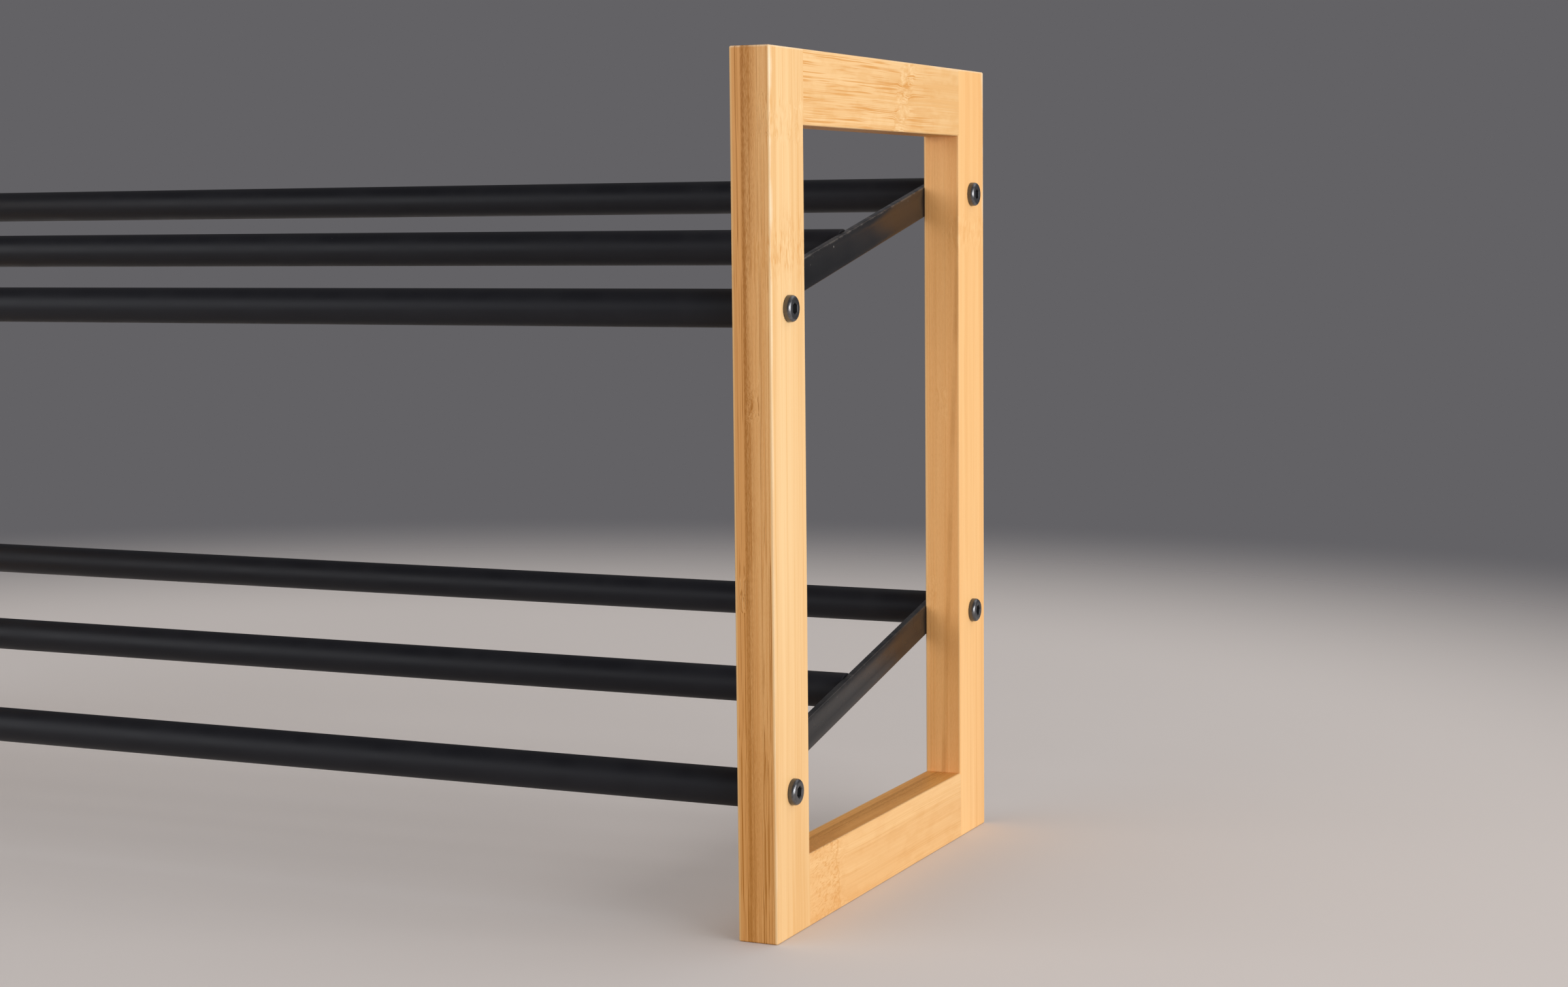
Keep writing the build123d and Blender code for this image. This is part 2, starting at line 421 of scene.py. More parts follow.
class BambooBoard:
    """Masks and colours of a board of three glued bamboo layers, built as nodes in the group's tree."""

    def __init__(self, tree, given):
        self.tree = tree
        self.given = given
        self.seed = given["Seed"]
        self.through, self.across, self.along = axes_of(tree, given["Place"])
        self.half_length = times(tree, given["Board Length"], 0.5)
        self.find_layers()
        self.find_knuckles()
        self.lay_fibres()
        self.find_edges()
        self.raise_ridges()

    def find_layers(self):
        """Finds which of the layers a point lies in, counted from the inner face."""
        tree = self.tree
        layer_thickness = calc(tree, "DIVIDE", self.given["Board Thickness"], LAYERS)
        self.half_layer = times(tree, layer_thickness, 0.5)
        stack = plus(tree, calc(tree, "DIVIDE", self.through, layer_thickness), LAYERS / 2)
        self.in_middle = calc(tree, "GREATER_THAN", stack, 1.0)
        self.in_outer = calc(tree, "GREATER_THAN", stack, 2.0)

    def by_layer(self, quantity):
        """Takes a layer's own value of a quantity."""
        tree = self.tree
        inner, middle, outer = (self.given[f"{layer} {quantity}"] for layer in ("Inner", "Middle", "Outer"))
        to_middle = minus(tree, middle, inner)
        to_outer = minus(tree, outer, middle)
        value = times_plus(tree, self.in_middle, to_middle, inner)
        return times_plus(tree, self.in_outer, to_outer, value)

    def find_knuckles(self):
        """Finds how near a point is to the knuckle of its layer, which may slant across the board."""
        tree = self.tree
        knuckle_place = times_plus(tree, self.across, self.given["Knuckle Slant"], self.by_layer("Knuckle"))
        self.wobble = about_zero(tree, noise(tree, self.given["Place"], self.seed, scale=WOBBLE_FINENESS))
        past_knuckle = minus(tree, self.along, knuckle_place)
        self.past_knuckle = times_plus(tree, self.wobble, KNUCKLE_WOBBLE, past_knuckle)
        self.knuckle = fade(tree, unsigned(tree, self.past_knuckle), KNUCKLE_REACH, KNUCKLE_HEART)

    def lay_fibres(self):
        """Lets the fibres wander a little along the board and swirl at the knuckles."""
        tree = self.tree
        drift_place = vector(tree, 0.0, 0.0, times(tree, self.along, DRIFT_FINENESS))
        self.drift = about_zero(tree, noise(tree, drift_place, self.seed))
        swirl_place = stretch(tree, (self.through, self.across, self.along), SWIRL_FINENESS)
        swirl = axes_of(tree, noise(tree, swirl_place, self.seed, detail=0.0, output="Color"))
        swirl_through = times(tree, about_zero(tree, swirl[0]), self.knuckle)
        swirl_across = times(tree, about_zero(tree, swirl[1]), self.knuckle)
        drift_through = times_plus(tree, self.drift, DRIFT_THROUGH, self.through)
        drift_across = times_plus(tree, self.drift, DRIFT_ACROSS, self.across)
        self.fibre_x = times_plus(tree, swirl_through, SWIRL_THROUGH, drift_through)
        self.fibre_y = times_plus(tree, swirl_across, SWIRL_ACROSS, drift_across)
        self.busy = times_plus(tree, self.draw(BUSY_BANDS), BUSY_SHARE, 1 - BUSY_SHARE)
        self.lines = times(tree, self.draw(FIBRE_LINES), self.busy)
        self.hairs = times(tree, self.draw(FIBRE_HAIRS), self.busy)
        self.dashes = self.draw(FIBRE_DASHES)

    def fibre_noise(self, marks):
        """Noise that is drawn out along the fibres."""
        tree = self.tree
        fibres = (self.fibre_x, self.fibre_y, self.along)
        stretched = stretch(tree, fibres, (marks.through, marks.across, marks.along))
        return noise(tree, stretched, plus(tree, self.seed, marks.shift), detail=marks.detail)

    def draw(self, marks):
        """Mask of one kind of mark along the fibres."""
        return fade(self.tree, self.fibre_noise(marks), marks.start, marks.full)

    def find_edges(self):
        """Finds where the board is cut across its layers, and paints a pale highlight on its arrises along
        one side and the top.
        """
        tree, given = self.tree, self.given
        half_thickness = times(tree, given["Board Thickness"], 0.5)
        half_width = times(tree, given["Board Width"], 0.5)
        self.under_face = minus(tree, half_thickness, unsigned(tree, self.through))
        under_side = minus(tree, half_width, unsigned(tree, self.across))
        under_top = minus(tree, self.half_length, self.along)
        self.cut = fade(tree, self.under_face, *CUT_DEPTH)
        patch_place = vector(tree, 0.0, times(tree, self.across, PATCH_STRETCH), self.along)
        self.patchy = noise(tree, patch_place, self.seed, scale=PATCH_SCALE, detail=4.0)
        high = fade(tree, self.along, *HIGHLIGHT_HEIGHT)
        highlight_reach = times_plus(tree, high, 1 - HIGHLIGHT_LOW_SHARE, HIGHLIGHT_LOW_SHARE)
        highlight_reach = times(tree, fade(tree, self.patchy, *HIGHLIGHT_LEVELS), highlight_reach)
        highlight_width = times_plus(tree, highlight_reach, HIGHLIGHT_EXTRA_WIDTH, HIGHLIGHT_WIDTH)
        near_face = fade(tree, self.under_face, *ARRIS_DEPTH)
        near_side = fade(tree, under_side, highlight_width, 0.0)
        near_top = times(tree, fade(tree, under_top, *TOP_ARRIS_DEPTH), given["Worn Top"])
        highlight_face = calc(tree, "GREATER_THAN", times(tree, self.through, given["Worn Face"]), 0.0)
        highlight_side = calc(tree, "GREATER_THAN", times(tree, self.across, given["Worn Side"]), 0.0)
        # Painted highlight: a pale colour along one outer arris and the top, patchy, and stronger higher up
        paleness = times_plus(tree, highlight_reach, *HIGHLIGHT_PALENESS)
        side_highlight = times(tree, near_face, near_side, highlight_side, paleness, highlight_face)
        top_highlight = times(tree, near_top, largest(tree, near_face, fade(tree, under_side, *ARRIS_DEPTH)))
        self.arris_highlight = largest(tree, side_highlight, top_highlight)

    def raise_ridges(self):
        """Raises fine ridges at the knuckles of the cut inner and outer layers."""
        tree = self.tree
        ripple = calc(tree, "SINE", times(tree, self.fibre_x, RIDGE_TURNS))
        outside_middle = minus(tree, plus(tree, self.in_outer, 1.0), self.in_middle)
        crest = fade(tree, ripple, *RIDGE_CREST)
        self.ridges = times(tree, crest, self.knuckle, self.cut, outside_middle, self.given["Ridges"])

    def ground(self):
        """Pale ground with darker fibre lines, tanner where it is cut, partly from the grain's own tint and
        partly from painted shading, and paler on the arrises with a painted highlight.
        """
        tree, given = self.tree, self.given
        tone = times_plus(tree, self.lines, given["Line Strength"], self.by_layer("Tone"))
        tone = times_plus(tree, times(tree, self.hairs, given["Line Strength"]), HAIR_SHARE, tone)
        tone = times_plus(tree, times(tree, self.dashes, self.cut), DASH_SHARE, tone)
        tone = times_plus(tree, self.draw(BROAD_BANDS), BROAD_SHARE, tone)
        low_end = fade(tree, self.along, 0.0, times(tree, self.half_length, -1.0))
        tone = times_plus(tree, low_end, given["Low End Tone"], tone)
        high_end = fade(tree, self.along, 0.0, self.half_length)
        tone = times_plus(tree, high_end, given["High End Tone"], tone)
        blotches = stretch(tree, (self.fibre_x, self.fibre_y, self.along), BLOTCH_FINENESS)
        blotch = fade(tree, noise(tree, blotches, self.seed, detail=3.0), *BLOTCH_LEVELS)
        tone = times_plus(tree, blotch, given["Blotch"], tone)
        mottle = times(tree, self.fibre_noise(KNUCKLE_MOTTLE), self.knuckle)
        mottle = times(tree, times_plus(tree, self.knuckle, -0.5, mottle), given["Mottle"])
        tone = times_plus(tree, mottle, MOTTLE_GAIN, tone)
        tone = times_plus(tree, self.ridges, RIDGE_PALENESS, tone, clamp=True)
        colour = blend(tree, tone, given["Pale"], given["Tan"])
        # The cut faces take their tint, partly their own colour and partly painted shading
        colour = blend(tree, self.cut, colour, given["Cut Tint"], blend_type="MULTIPLY")
        # Painted highlight on the arrises
        return blend(tree, self.arris_highlight, colour, given["Sanded"])

    def inner_seam(self):
        """Brown skin at the inner seam: a sharp line that fades outwards in streaks and weakens downwards."""
        tree, given = self.tree, self.given
        past_seam = plus(tree, self.fibre_x, plus(tree, self.half_layer, INNER_SEAM_SHIFT))
        reach = times_plus(tree, fade(tree, self.drift, *SEAM_DRIFT), *SEAM_REACH_SHARES)
        reach = times(tree, reach, given["Seam Reach"])
        band = fade(tree, past_seam, reach, times(tree, reach, SEAM_HEART))
        streaks = times_plus(tree, self.lines, *STREAK_LINES)
        streaks = times_plus(tree, self.dashes, STREAK_DASHES, streaks)
        band = times(tree, band, fade(tree, past_seam, *SEAM_EDGE), streaks)
        line_place = unsigned(tree, minus(tree, past_seam, INNER_SEAM_SHIFT))
        line = fade(tree, line_place, *INNER_LINE_WIDTH)
        seam = times(tree, times_plus(tree, line, INNER_LINE_SHARE, band), given["Inner Seam"])
        loss = minus(tree, 1.0, given["Low Seam Share"])
        loss = times(tree, fade(tree, self.along, *SEAM_LOSS_HEIGHT), loss)
        return times(tree, seam, minus(tree, 1.0, loss))

    def outer_seam(self):
        """Brown line at the outer seam, which may lean, comes and goes, and ends short of the face."""
        tree, given = self.tree, self.given
        seam_place = plus(tree, self.half_layer, OUTER_SEAM_SHIFT)
        lean = times(tree, self.along, given["Outer Seam Lean"])
        past_seam = minus(tree, self.fibre_x, seam_place, given["Outer Seam Shift"], lean)
        heart = times(tree, given["Outer Seam Width"], OUTER_LINE_HEART)
        line = fade(tree, unsigned(tree, past_seam), given["Outer Seam Width"], heart)
        share = times_plus(tree, fade(tree, self.patchy, *OUTER_SEAM_LEVELS), *OUTER_SEAM_SHARES)
        inside = fade(tree, self.under_face, *OUTER_SEAM_DEPTH)
        return times(tree, line, inside, share, given["Outer Seam"])

    def flecks(self):
        """Amber flecks in bunches, between two places along the board."""
        tree, given = self.tree, self.given
        past_start = fade(tree, minus(tree, self.along, given["Fleck Start"]), *FLECK_START_FADE)
        before_end = fade(tree, minus(tree, self.along, given["Fleck End"]), *FLECK_END_FADE)
        bunch = self.draw(FLECK_BUNCHES)
        fleck = self.draw(FLECKS._replace(along=calc(tree, "DIVIDE", 1.0, given["Fleck Length"])))
        reach = times(tree, past_start, before_end)
        return times(tree, fleck, bunch, reach, given["Fleck Amount"])

    def strokes(self):
        """Short leaning strokes before a knuckle."""
        tree = self.tree
        rise = fade(tree, self.past_knuckle, *FEATHER_RISE)
        feather = times(tree, rise, fade(tree, self.past_knuckle, *FEATHER_STOP), self.given["Feather"])
        wobbly = times_plus(tree, self.wobble, STROKE_WOBBLE, self.across)
        lean = times_plus(tree, self.along, STROKE_LEAN, wobbly)
        fine_lean, fine_along = STROKE_FINENESS
        lean = times(tree, lean, fine_lean)
        stroke_place = vector(tree, self.fibre_x, lean, times(tree, self.along, fine_along))
        return times(tree, fade(tree, noise(tree, stroke_place, self.seed), *STROKE_LEVELS), feather)

    def knuckle_line(self):
        """The ragged line of the knuckle itself."""
        tree = self.tree
        rags = about_zero(tree, self.fibre_noise(KNUCKLE_RAGS))
        ragged = times_plus(tree, rags, KNUCKLE_RAG, self.past_knuckle)
        line = fade(tree, unsigned(tree, ragged), *KNUCKLE_LINE_WIDTH)
        return times(tree, line, self.given["Knuckle Line"])

    def brown_marks(self):
        """Brown of the seams, of lines where the layers are cut, and of pores."""
        tree = self.tree
        seams = largest(tree, self.inner_seam(), self.outer_seam())
        cut_lines = times(tree, self.draw(CUT_LINES), self.busy, self.cut, self.given["Cut Lines"])
        pores = vector(tree, self.fibre_x, self.fibre_y, times(tree, self.along, PORE_STRETCH))
        pore = use_group(tree, DUST_SPECKS, Place=pores, Spacing=5.0, Speck_Size=0.4, Share=0.3)["Mask"]
        return times_plus(tree, pore, PORE_SHARE, largest(tree, seams, cut_lines), clamp=True)

    def colour(self):
        """Colour of the board with all its marks."""
        tree = self.tree
        amber = largest(tree, self.flecks(), self.strokes(), self.knuckle_line())
        colour = blend(tree, amber, self.ground(), self.given["Amber"])
        return blend(tree, self.brown_marks(), colour, self.given["Brown"])

    def roughness(self):
        """Roughness, higher on the fibre lines and lower on the arrises."""
        rough = times_plus(self.tree, self.lines, LINE_ROUGHNESS, FIBRE_ROUGHNESS)
        return times_plus(self.tree, self.arris_highlight, ARRIS_ROUGHNESS, rough)

    def height(self):
        """Relief of the fibres and the ridges."""
        relief = times_plus(self.tree, self.hairs, HAIR_RELIEF, self.lines)
        return times_plus(self.tree, self.ridges, RIDGE_RELIEF, relief)


def bamboo_group():
    """Glued bamboo strips in three layers. Place is in millimetres from the board's middle, grain along Z."""
    tree, given, out = new_group("ShaderNodeTree", "bamboo_layers", BAMBOO_INPUTS, BAMBOO_OUTPUTS)
    board = BambooBoard(tree, given)
    feed(tree, out.inputs["Color"], board.colour())
    feed(tree, out.inputs["Roughness"], board.roughness())
    feed(tree, out.inputs["Height"], board.height())
    return tree


CLOUD_FINENESS = 0.05
CLOUD_LEVELS = (0.3, 0.7)


def coat_group():
    """Skin of a sprayed and baked coat: fine grain, cloudy sheen. Place and sizes are in millimetres."""
    tree, given, out = new_group(
        "ShaderNodeTree",
        "sprayed_coat",
        {"Place": "NodeSocketVector", "Seed": 0.0, "Grain Size": 0.6},
        {"Cloud": "NodeSocketFloat", "Height": "NodeSocketFloat"},
    )
    density = calc(tree, "DIVIDE", 1.0, given["Grain Size"])
    grain = noise(tree, given["Place"], given["Seed"], scale=density, detail=1.0)
    cloud = noise(tree, given["Place"], given["Seed"], scale=CLOUD_FINENESS, detail=3.0)
    feed(tree, out.inputs["Cloud"], fade(tree, cloud, *CLOUD_LEVELS))
    feed(tree, out.inputs["Height"], grain)
    return tree


DUST_SPECKS = dust_group()
BAMBOO_LAYERS = bamboo_group()
SPRAYED_COAT = coat_group()


# Finishes

def new_finish(name, **sockets):
    """Starts a material. Sockets are constant inputs of its shader. Returns the material, tree and shader."""
    material = bpy.data.materials.new(name)
    material.use_nodes = True
    tree = material.node_tree
    shader = tree.nodes["Principled BSDF"]
    for socket, value in sockets.items():
        shader.inputs[socket.replace("_", " ")].default_value = value
    return material, tree, shader


def place_on(tree, middle=(0, 0, 0), turn=(0, 0, 0)):
    """Object coordinates in millimetres, from a piece's middle and turned with the piece."""
    coordinates = add(tree, "ShaderNodeTexCoord").outputs["Object"]
    inputs = {"Vector": coordinates, "Location": middle, "Rotation": turn, "Scale": (MM, MM, MM)}
    return add(tree, "ShaderNodeMapping", inputs, vector_type="TEXTURE").outputs[0]


def paint(tree, shader, colour, roughness):
    """Gives a shader its colour and roughness."""
    feed(tree, shader.inputs["Base Color"], colour)
    feed(tree, shader.inputs["Roughness"], roughness)


def bump(tree, shader, height, depth):
    """Turns a height into the shader's normal. A height of 1 stands out by the depth, in metres."""
    inputs = {"Height": height, "Distance": depth}
    feed(tree, shader.inputs["Normal"], add(tree, "ShaderNodeBump", inputs).outputs[0])


FIBRE_DEPTH = 0.03 * MM


def bamboo(node, seed, lies=False, **features):
    """Bamboo for one board of an end frame. A rail's grain lies along Y, a post's stands along Z."""
    material, tree, shader = new_finish(f"bamboo_{node}", Specular_IOR_Level=0.3)
    turn = (-math.pi / 2, 0, 0) if lies else (0, 0, 0)
    outputs = use_group(
        tree,
        BAMBOO_LAYERS,
        Place=place_on(tree, middle_of(node), turn),
        Seed=seed,
        Board_Thickness=BOARD_THICKNESS / MM,
        Board_Width=(size_of(node).z if lies else size_of(node).y) / MM,
        Board_Length=(size_of(node).y if lies else size_of(node).z) / MM,
        # The outer face takes the painted arris highlight
        Worn_Face=math.copysign(1.0, middle_of(node).x),
        **features,
    )
    paint(tree, shader, outputs["Color"], outputs["Roughness"])
    bump(tree, shader, outputs["Height"], FIBRE_DEPTH)
    return material


COAT_DUST_COLOUR = (0.22, 0.21, 0.2, 1)
COAT_DUST_SHARE = 0.6
CLOUD_ROUGHNESS = 0.08


def black_coat(tree, shader, place, seed, black, grey, roughness, grain_size, grain_depth):
    """Baked coat, black with clouds of grey, with a little dust on it. Returns its colour."""
    coat = use_group(tree, SPRAYED_COAT, Place=place, Seed=seed, Grain_Size=grain_size)
    dust = use_group(tree, DUST_SPECKS, Place=place, Spacing=7.0, Speck_Size=0.35, Share=0.25)
    rough = times_plus(tree, coat["Cloud"], CLOUD_ROUGHNESS, roughness)
    feed(tree, shader.inputs["Roughness"], rough)
    bump(tree, shader, coat["Height"], grain_depth)
    clouded = blend(tree, coat["Cloud"], black, grey)
    return blend(tree, times(tree, dust["Mask"], COAT_DUST_SHARE), clouded, COAT_DUST_COLOUR)


def tube_coat():
    """Matt black coat of the tubes and welds."""
    material, tree, shader = new_finish("matt_black_tube", Specular_IOR_Level=0.28)
    colour = black_coat(
        tree,
        shader,
        place_on(tree),
        seed=1.0,
        black=(0.006, 0.006, 0.0088, 1),
        grey=(0.009, 0.009, 0.012, 1),
        roughness=0.47,
        grain_size=0.7,
        grain_depth=0.02 * MM,
    )
    feed(tree, shader.inputs["Base Color"], colour)
    return material


# Wear of a bar. Depths are in millimetres down from its upper edge: where it ends, and where it is full
RUBBED_DEPTH = (0.9, 0.3)
RUBBED_LEVELS = (0.4, 0.6)
RUBBED_SHARE = 0.6
RUBBED_COLOUR = (0.09, 0.08, 0.072, 1)
CHIPPED_DEPTH = (4.5, 3.0)
CHIP_SHARE = 0.8
CHIP_COLOUR = (0.18, 0.165, 0.155, 1)


def bar_coat(node, seed, wear, roughness):
    """Satin black coat of a bar, rubbed on its upper edge, with small chips below it. Wear goes up to 1."""
    material, tree, shader = new_finish(f"satin_black_{node}", Specular_IOR_Level=0.36)
    place = place_on(tree, middle_of(node), (SHELF_TILT, 0, 0))
    colour = black_coat(
        tree,
        shader,
        place,
        seed,
        black=(0.01, 0.01, 0.011, 1),
        grey=(0.014, 0.014, 0.0148, 1),
        roughness=roughness,
        grain_size=1.8,
        grain_depth=0.012 * MM,
    )
    axes = axes_of(tree, place)
    below_edge = minus(tree, BAR_WIDTH / MM / 2, axes[2])
    cloud = noise(tree, place, seed, scale=0.25, detail=3.0)
    rubbed = times(tree, fade(tree, below_edge, *RUBBED_DEPTH), fade(tree, cloud, *RUBBED_LEVELS))
    colour = blend(tree, times(tree, rubbed, RUBBED_SHARE * wear), colour, RUBBED_COLOUR)
    flat = vector(tree, 0.0, plus(tree, axes[1], seed), axes[2])
    wander = noise(tree, place, seed, output="Color")
    ragged = add(tree, "ShaderNodeVectorMath", {0: flat, 1: wander}, operation="ADD").outputs[0]
    chips = use_group(tree, DUST_SPECKS, Place=ragged, Spacing=5.0, Speck_Size=1.4, Share=0.5)
    chipped = times(tree, chips["Mask"], fade(tree, below_edge, *CHIPPED_DEPTH))
    colour = blend(tree, times(tree, chipped, CHIP_SHARE * wear), colour, CHIP_COLOUR)
    feed(tree, shader.inputs["Base Color"], colour)
    return material


# Shares on a screw, and roughness as what the clouds add and what is there without them
# Share of painted shade in the socket
SOCKET_SHADE_SHARE = 0.5
RUBBED_RIM_LEVELS = (0.35, 0.7)
SCREW_DUST_SHARE = 0.4
OXIDE_ROUGHNESS = (0.2, 0.22)
SOCKET_ROUGHNESS = 0.3


def black_oxide():
    """Blackened screw steel, brighter where the rim attribute is over 0, and with painted shade and more
    roughness where it is under 0, in the socket.
    """
    dark = (0.11, 0.112, 0.118, 1)
    mid = (0.16, 0.163, 0.17, 1)
    bright = (0.24, 0.24, 0.25, 1)
    socket_shade = (0.03, 0.03, 0.032, 1)
    dusty = (0.3, 0.29, 0.28, 1)
    material, tree, shader = new_finish("black_oxide_screw", Metallic=0.9)
    place = place_on(tree)
    rim = add(tree, "ShaderNodeAttribute", attribute_name="rim").outputs["Fac"]
    deep = fade(tree, rim, 0.0, -0.5)
    cloud = noise(tree, place, 2.0, scale=0.7, detail=3.0)
    steel = blend(tree, cloud, dark, mid)
    # Painted shade in the socket
    steel = blend(tree, times(tree, deep, SOCKET_SHADE_SHARE), steel, socket_shade)
    steel = blend(tree, times(tree, rim, fade(tree, cloud, *RUBBED_RIM_LEVELS)), steel, bright)
    dust = use_group(tree, DUST_SPECKS, Place=place, Spacing=2.5, Speck_Size=0.2, Share=0.3)
    steel = blend(tree, times(tree, dust["Mask"], SCREW_DUST_SHARE), steel, dusty)
    rough = times_plus(tree, cloud, *OXIDE_ROUGHNESS)
    paint(tree, shader, steel, times_plus(tree, deep, SOCKET_ROUGHNESS, rough))
    return material


DOWEL_STRETCH = 0.06
DOWEL_ROUGHNESS = (0.2, 0.5)
DOWEL_GRAIN_DEPTH = 0.05 * MM


def turned_wood():
    """Pale turned dowel wood, with its grain along Y."""
    pale = (0.74, 0.5, 0.27, 1)
    tan = (0.5, 0.29, 0.13, 1)
    material, tree, shader = new_finish("dowel_beech", Specular_IOR_Level=0.3)
    axes = axes_of(tree, place_on(tree))
    drawn_out = vector(tree, axes[0], times(tree, axes[1], DOWEL_STRETCH), axes[2])
    grain = noise(tree, drawn_out, 4.0, scale=1.6, detail=3.0)
    paint(tree, shader, blend(tree, grain, pale, tan), times_plus(tree, grain, *DOWEL_ROUGHNESS))
    bump(tree, shader, grain, DOWEL_GRAIN_DEPTH)
    return material


PLATED_ROUGHNESS = (0.25, 0.25)


def plated_steel():
    """Zinc-plated plug steel."""
    grey = (0.5, 0.5, 0.5, 1)
    pale = (0.64, 0.63, 0.6, 1)
    material, tree, shader = new_finish("plated_plug_steel", Metallic=1.0)
    cloud = noise(tree, place_on(tree), 6.0, scale=0.8, detail=3.0)
    paint(tree, shader, blend(tree, cloud, grey, pale), times_plus(tree, cloud, *PLATED_ROUGHNESS))
    return material


# Pieces made of steel

def add_piece(name, mesh, slot, *nodes):
    """Adds a finished mesh as the piece that stands for these nodes."""
    piece = new_object(name, mesh)
    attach(piece, "root")
    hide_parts(*nodes)


def grow(tree, name, start_mesh, **values):
    """Runs a geometry tree on a mesh and returns the result as a plain mesh."""
    grower = new_object(name, start_mesh)
    modifier = grower.modifiers.new(tree.name, "NODES")
    modifier.node_group = tree
    sockets = {item.name: item.identifier for item in tree.interface.items_tree if item.in_out == "INPUT"}
    for socket, value in values.items():
        modifier[sockets[socket.replace("_", " ")]] = value
    bpy.context.view_layer.update()
    graph = bpy.context.evaluated_depsgraph_get()
    mesh = bpy.data.meshes.new_from_object(grower.evaluated_get(graph), depsgraph=graph)
    mesh.name = name
    grower.modifiers.remove(modifier)
    bpy.data.objects.remove(grower)
    return mesh


# Angles from which the edges of a piece stay sharp
SCREW_CREASE = math.radians(32)
TUBE_CREASE = math.radians(40)
BAR_CREASE = math.radians(40)
WELD_CREASE = math.radians(50)


def smooth_between(mesh, angle):
    """Shades a mesh smooth, apart from edges sharper than an angle."""
    mesh.polygons.foreach_set("use_smooth", [True] * len(mesh.polygons))
    mesh.set_sharp_from_angle(angle=angle)


def points_mesh(name, places, turns=None):
    """A mesh of bare points. Where turns are given, each point keeps its own turn about X."""
    mesh = bpy.data.meshes.new(name)
    mesh.from_pydata(places, [], [])
    if turns:
        mesh.attributes.new("turn", "FLOAT", "POINT").data.foreach_set("value", turns)
    return mesh


def shape_group(name, inputs):
    """Starts a geometry group that takes a mesh, these inputs and a finish."""
    sockets = {"Geometry": "NodeSocketGeometry", **inputs, "Finish": "NodeSocketMaterial"}
    return new_group("GeometryNodeTree", name, sockets, {"Geometry": "NodeSocketGeometry"})


def repeat_on_points(tree, given, out, form, turned=True):
    """Ends a geometry tree: the form on each point, turned if asked, as real meshes in the finish."""
    inputs = {"Points": given["Geometry"], "Instance": form}
    if turned:
        turn = add(tree, "GeometryNodeInputNamedAttribute", {"Name": "turn"}, data_type="FLOAT").outputs[0]
        about_x = vector(tree, turn, 0.0, 0.0)
        inputs["Rotation"] = add(tree, "FunctionNodeEulerToRotation", {0: about_x}).outputs[0]
    placed = add(tree, "GeometryNodeInstanceOnPoints", inputs).outputs[0]
    real = add(tree, "GeometryNodeRealizeInstances", {"Geometry": placed}).outputs[0]
    finished = add(tree, "GeometryNodeSetMaterial", {"Geometry": real, "Material": given["Finish"]})
    feed(tree, out.inputs[0], finished.outputs[0])


TUBE_RING_POINTS = 96


def tube_tree():
    """A round tube along X, with its wall swept round its axis and its ends slightly rounded."""
    sizes = {"Length": 1.0, "Diameter": 0.01, "Wall": 0.001, "End Rounding": 0.0002}
    tree, given, out = shape_group("round_tube", sizes)
    wall_middle = calc(tree, "DIVIDE", minus(tree, given["Diameter"], given["Wall"]), 2.0)
    ring_inputs = {"Resolution": TUBE_RING_POINTS, "Radius": wall_middle}
    ring = add(tree, "GeometryNodeCurvePrimitiveCircle", ring_inputs).outputs[0]
    wall_inputs = {"Width": given["Wall"], "Height": given["Length"]}
    wall = add(tree, "GeometryNodeCurvePrimitiveQuadrilateral", wall_inputs).outputs[0]
    rounding = {"Curve": wall, "Count": 2, "Radius": given["End Rounding"]}
    section = add(tree, "GeometryNodeFilletCurve", rounding, mode="POLY").outputs[0]
    swept = add(tree, "GeometryNodeCurveToMesh", {"Curve": ring, "Profile Curve": section}).outputs[0]
    lying = add(tree, "GeometryNodeTransform", {"Geometry": swept, "Rotation": (0, math.pi / 2, 0)})
    repeat_on_points(tree, given, out, lying.outputs[0], turned=False)
    return tree


def screw_tree():
    """One screw form repeated on points."""
    tree, given, out = shape_group("socket_screws", {"Screw": "NodeSocketObject"})
    form = add(tree, "GeometryNodeObjectInfo", {"Object": given["Screw"]}).outputs["Geometry"]
    repeat_on_points(tree, given, out, form)
    return tree


WELD_ARC_POINTS = 64
WELD_RING_POINTS = 16
WELD_RIPPLE = 0.07
WELD_TAPER = (-0.04, 0.09)
WELD_UNEVENNESS = 0.25 * MM


